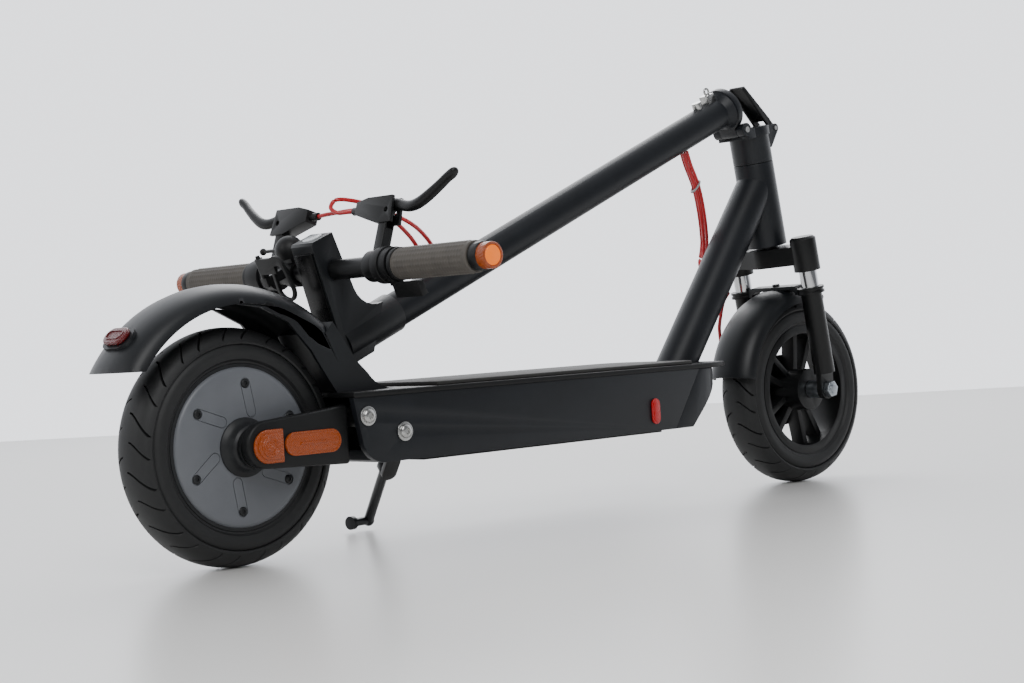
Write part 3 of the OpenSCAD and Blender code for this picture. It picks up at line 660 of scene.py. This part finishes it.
# %% [markdown]
# Rear lamps and reflectors. Each is a thick coloured lens with a polished edge and a raised
# pattern inside. The turn lamp is a bull's-eye of rings cut straight on its front side; the
# reflector behind it is a pill with a raised bar; the tail lamp sits on a sloping pad.

# %% Model the lamps and reflectors
def lamp_outline(radius, front):
    return arc(0, 0, radius, 90, 270, 20) + [(front, -radius), (front, radius)]


turn_lamp = bevelled(stand_y(plate("turn_lamp", lamp_outline(17.3, 19), 3.6)), 1.2, 3)
turn_rim = bevelled(stand_y(plate("turn_lamp_step", lamp_outline(13.4, 15.6), 1.6)), 0.6, 2)
turn_rings = turned_piece("turn_lamp_rings", [
    (0.01, 0), (10.8, 0), (10.8, 0.9), (10, 1.5), (9.2, 1.0), (8.2, 1.0), (7.4, 1.7), (6.6, 1.1),
    (5.4, 1.1), (4.6, 1.9), (3.4, 1.3), (1.8, 1.5), (0.01, 2.2)], steps=64)
side_reflector = bevelled(stand_y(plate("arm_reflector", pill(70, 23), 2.6)), 1.1, 3)
bar = bevelled(stand_y(plate("arm_reflector_bar", pill(34, 2.6), 0.8)), 0.3, 2)
rim = stand_y(bevelled(pill_ring("arm_reflector_rim", 71.6, 24.6, 2.0, 3.2), 0.5, 2))
for side, face in (("left", 1), ("right", -1)):
    flip = Matrix.Diagonal((1, face, 1, 1))
    for part, x, out in ((turn_lamp, 1, 71.6), (turn_rim, 1, 73.2), (turn_rings, 2.6, 73),
                         (side_reflector, 58.5, 70.6), (bar, 58.5, 71.4), (rim, 58.5, 71.2)):
        spot = flip @ Matrix.Translation((x, out, 125.8))
        settle(copied(part, f"{part.name}_{side}", spot), DECK, "swingarm", "amber_lens",
               replaces=["amber_lenses"])
discard(turn_lamp, turn_rim, turn_rings, side_reflector, bar, rim)

red_pill = bevelled(stand_y(plate("deck_reflector", pill(31, 14), 2.6)), 0.9, 3)
red_core = bevelled(stand_y(plate("deck_reflector_core", pill(26, 9), 0.9)), 0.4, 2)
for side, face in (("left", 1), ("right", -1)):
    flip = Matrix.Diagonal((1, face, 1, 1))
    for part, out in ((red_pill, 82.6), (red_core, 83.2)):
        spot = flip @ Matrix.Translation((566, out, 121)) @ turned(90, "Y")
        settle(copied(part, f"{part.name}_{side}", spot), DECK, "frame", "red_lens",
               replaces=["red_lenses"])
discard(red_pill, red_core)
TAIL = REAR @ turned(-136, "Y") @ moved(172, 0, 0) @ turned(90, "Y") @ turned(90, "Z")
tail_lens = bevelled(plate("tail_lamp_lens", pill(38, 21, 16), 5.4), 2.0, 4)
settle(tail_lens, TAIL, "frame", "red_lens", replaces=["red_lenses"], finish=tail_red)
tail_rib = bevelled(pill_ring("tail_lamp_rib", 29, 12, 1.6, 1.2), 0.4, 2)
settle(tail_rib, TAIL @ moved(0, 0, 5.2), "frame", "red_lens", finish=tail_red)

# %% [markdown]
# Brake levers. A forged lever is one flowing bar: a thick root at its pivot, a narrow waist,
# and a broad blade that ends in a round bulb for the finger tips. It is drawn as one round
# section, extruded from station to station and resized at each.

# %% Model the levers
def swept(name, stations, sides=24):
    """Extrudes a round section along Y; a station is (x, y, z, half width, half height)."""
    clear()
    x, y, z, wide, high = stations[0]
    bpy.ops.mesh.primitive_circle_add(vertices=sides, radius=1, fill_type="NGON",
                                      rotation=(math.radians(90), 0, 0), location=(x, y, z))
    bar_piece = bpy.context.object
    bar_piece.name = name
    only(bar_piece)
    bpy.ops.object.transform_apply(location=True, rotation=True, scale=True)
    edit(bar_piece)
    bpy.ops.mesh.select_all(action="SELECT")
    bpy.ops.transform.resize(value=(wide, 1, high), center_override=(x, y, z))
    for here, there in zip(stations, stations[1:]):
        step = tuple(b - a for a, b in zip(here[:3], there[:3]))
        bpy.ops.mesh.extrude_region_move(TRANSFORM_OT_translate={"value": step})
        bpy.ops.transform.resize(value=(there[3] / here[3], 1, there[4] / here[4]),
                                 center_override=there[:3])
    clear()
    return outward(bar_piece)


def smooth_stations(points, steps=5):
    made = []
    for i in range(len(points) - 1):
        a, b = points[max(i - 1, 0)], points[i]
        c, d = points[i + 1], points[min(i + 2, len(points) - 1)]
        for k in range(steps):
            t = k / steps
            made.append(tuple(0.5 * (2 * q + (r - p) * t + (2 * p - 5 * q + 4 * r - w) * t * t
                                     + (3 * q - p - 3 * r + w) * t ** 3)
                              for p, q, r, w in zip(a, b, c, d)))
    return made + [points[-1]]


lever = swept("brake_lever_blade_left", smooth_stations([
    (68, 80, 0, 4.6, 4.0), (68.5, 92, 0, 5.8, 4.0), (68, 104, 0, 6.2, 4.0),
    (65, 116, 0, 6.2, 4.4),
    (63.5, 128, 0, 6.2, 5.2), (66, 141, 0, 6.6, 6.0), (73, 155, 0, 6.4, 6.4),
    (82, 169, 0, 5.8, 6.2), (90, 180, 0, 5.6, 6.0), (94, 187, 0, 5.6, 6.0),
    (96, 191, 0, 3.8, 4.2),
    (96.6, 192.6, 0, 1.0, 1.2)]))
settle(mirrored(lever, "brake_lever_blade_right"), LEVER, "brake_lever_right",
       "black_metal", 50, replaces=["brake_lever_right"])
settle(lever, LEVER, "brake_lever_left", "black_metal", 50, replaces=["brake_lever_left"])

# %% [markdown]
# Grips and end lights. The grip is soft rubber moulded with rows of small diamonds, which
# keep a wet hand from slipping. Its skin is turned plain and finely divided, and each point
# is then raised where two crossed waves meet. The end light is an orange cap round a lit
# disc.

# %% Model the grips and end lights
GRIP_R = 16.5
GRIP_FROM = 130.5
GRIP_TO = 249.5
ROWS = 90
grip = turned_piece("grip_left", [(11.2, GRIP_FROM), (GRIP_R - 1, GRIP_FROM)]
                    + [(GRIP_R, GRIP_FROM + 1 + (GRIP_TO - GRIP_FROM - 2) * i / ROWS)
                       for i in range(ROWS + 1)]
                    + [(GRIP_R - 1, GRIP_TO), (11.2, GRIP_TO), (11.2, GRIP_FROM)], steps=144)
edit(grip)
shape = bmesh.from_edit_mesh(grip.data)
for vert in shape.verts:
    around = math.atan2(vert.co.z, vert.co.x)
    out = math.hypot(vert.co.x, vert.co.z)
    if out > GRIP_R - 0.1 and GRIP_FROM + 6 < vert.co.y < GRIP_TO - 5:
        wave = 2 * math.pi * vert.co.y / 8.6
        bump = math.cos(9 * around + wave) * math.cos(9 * around - wave)
        grow = 1 + 0.75 * max(bump, 0) ** 0.6 / out
        vert.co.x *= grow
        vert.co.z *= grow
bmesh.update_edit_mesh(grip.data)
clear()
collar = bevelled(turned_piece("grip_collar_left", [
    (11.2, 126.5), (17.6, 126.5), (17.6, 132), (16.8, 132), (11.2, 132), (11.2, 126.5)], 96), 0.7)
end_cap = bevelled(turned_piece("end_light_rim_left", [
    (8, 261), (13.6, 261), (13.6, 273.2), (11, 273.8), (10.4, 272.4), (8, 272.4), (8, 261)], 96),
    0.7, 3)
end_disc = turned_piece("end_light_disc_left", [
    (0.01, 264), (10.3, 264), (10.3, 272.8), (9.4, 273.5), (0.01, 273.9)], 72)
for piece, slot, node, finish in ((grip, "grip_rubber", "grips", None),
                                  (collar, "black_plastic", "grips", None),
                                  (end_cap, "amber_lens", "bar_lights", None),
                                  (end_disc, "amber_lens", "bar_lights", lit_amber)):
    other = mirrored(piece, piece.name.replace("left", "right"))
    settle(other, BAR, "stem", slot, replaces=[node], finish=finish)
    settle(piece, BAR, "stem", slot, replaces=[node], finish=finish)

# %% [markdown]
# The hinge cables run beside the down tube in one bundle with a nylon tie. Only the last
# stretch of the drum brake's cable is made, down to the back plate, and it turns with the fork.

# %% Model the tie and the drum cable
def cable(name, points, radius, body, slot, frame_of):
    path = smooth_stations(points, 6)
    clear()
    bpy.ops.curve.primitive_bezier_curve_add()
    line = bpy.context.object
    line.name = name
    curve = line.data
    curve.splines.clear()
    spline = curve.splines.new("POLY")
    spline.points.add(len(path) - 1)
    for point, place in zip(spline.points, path):
        point.co = (*place, 1)
    curve.bevel_depth = radius
    curve.bevel_resolution = 5
    curve.use_fill_caps = True
    only(line)
    bpy.ops.object.convert(target="MESH")
    return settle(bpy.context.object, frame_of, body, slot, 60)


cable("drum_cable", [(852, 40, 262), (843, 42, 250), (838, 44, 232), (838, 48, 210),
                     (850, 52, 180), (880, 52, 158), (905, 44, 146)], 2.3,
      "fork_lowers", "cable_red", DECK)
TIE_AT = (760.5, 7.5, 402)
clear()
bpy.ops.mesh.primitive_torus_add(major_radius=7.2, minor_radius=1.1, major_segments=40,
                                 minor_segments=10, location=TIE_AT,
                                 rotation=(math.radians(-14), math.radians(-38), 0))
tie = bpy.context.object
tie.name = "cable_tie"
edit(tie)
bpy.ops.mesh.select_all(action="SELECT")
bpy.ops.transform.resize(value=(1, 1, 1.5), center_override=TIE_AT)
clear()
settle(tie, DECK, "frame", "grey_plastic", 50)

# %% [markdown]
# Parts inside the frame keep their CAD shape, and still get their real finish, so that an
# opened deck looks right.

# %% Finish the parts that stay inside
for node, part in frame["nodes"].items():
    if not part.hide_render:
        part.data.materials.clear()
        part.data.materials.append(finishes[node_slot[node]])
        print(node, "keeps its CAD shape")

# %% [markdown]
# A plain pale laminate floor and soft light. Three broad softboxes wrap the dark coat in
# long gentle highlights, and a pale surround fills the rest.

# %% Floor, light and camera
CAMERA_AT = DECK.translation + Vector((-1.15298, -1.69176, 0.23679))
CAMERA_TURN = -42.75
CAMERA_TILT = 0.53
CAMERA_ROLL = -3.27
LENS = 68.31
DIM_SIDE = 0.22
BRIGHT_SIDE = 2.3

clear()
bpy.ops.mesh.primitive_plane_add(size=2)
floor = bpy.context.object
floor.name = "floor"
edit(floor)
corners = [(-4.6, -3.2), (1.0, -6.0), (3.6, 0.2), (-0.2, 4.2)]
shape = bmesh.from_edit_mesh(floor.data)
for vert, corner in zip(sorted(shape.verts, key=lambda v: math.atan2(v.co.y, v.co.x)), corners):
    vert.co = (corner[0], corner[1], 0)
bmesh.update_edit_mesh(floor.data)
clear()
laminate, tree, body, place = new_finish("pale_laminate", **{
    "Base Color": linear("#e4e3e0"), "Roughness": 0.28, "IOR": 1.45})
floor.data.materials.append(laminate)


def softbox(name, spot, size, power):
    clear()
    bpy.ops.object.light_add(type="AREA", location=spot)
    light = bpy.context.object
    light.name = name
    light.data.size = size
    light.data.energy = power
    aim = Vector((0, 0, 0.25)) - Vector(spot)
    light.rotation_euler = aim.to_track_quat("-Z", "Y").to_euler()


softbox("key_softbox", (-1.6, -2.2, 2.4), 2.0, 60)
softbox("fill_softbox", (-3.0, 0.6, 1.6), 1.6, 22)
softbox("rim_softbox", (1.8, 1.8, 2.2), 2.0, 40)
surround = bpy.data.worlds.new("pale_surround")
surround.use_nodes = True
tree = surround.node_tree
sky = tree.nodes["Background"]
sky.inputs["Color"].default_value = linear("#eef0f5")
heading = add(tree, "ShaderNodeTexCoord").outputs["Generated"]
facing = add(tree, "ShaderNodeVectorMath", {0: heading, 1: (0.68, 0.73, 0.1)},
             operation="DOT_PRODUCT")
level = add(tree, "ShaderNodeMapRange", {"Value": facing.outputs["Value"], "From Min": -0.1,
            "From Max": 0.8, "To Min": DIM_SIDE, "To Max": BRIGHT_SIDE})
tree.links.new(level.outputs["Result"], sky.inputs["Strength"])
bpy.context.scene.world = surround

clear()
bpy.ops.object.camera_add(location=CAMERA_AT)
camera = bpy.context.object
turn, tilt, roll = (math.radians(v) for v in (CAMERA_TURN, CAMERA_TILT, CAMERA_ROLL))
right = Vector((math.cos(turn), math.sin(turn), 0))
back = Vector((math.sin(turn) * math.cos(tilt), -math.cos(turn) * math.cos(tilt),
               math.sin(tilt)))
up = back.cross(right)
upright = Matrix((right, up, back)).transposed()
camera.rotation_euler = (upright @ Matrix.Rotation(roll, 3, "Z")).to_euler()
camera.data.lens = LENS
camera.data.sensor_width = 36
bpy.context.scene.camera = camera

# %% End
print("scene built")
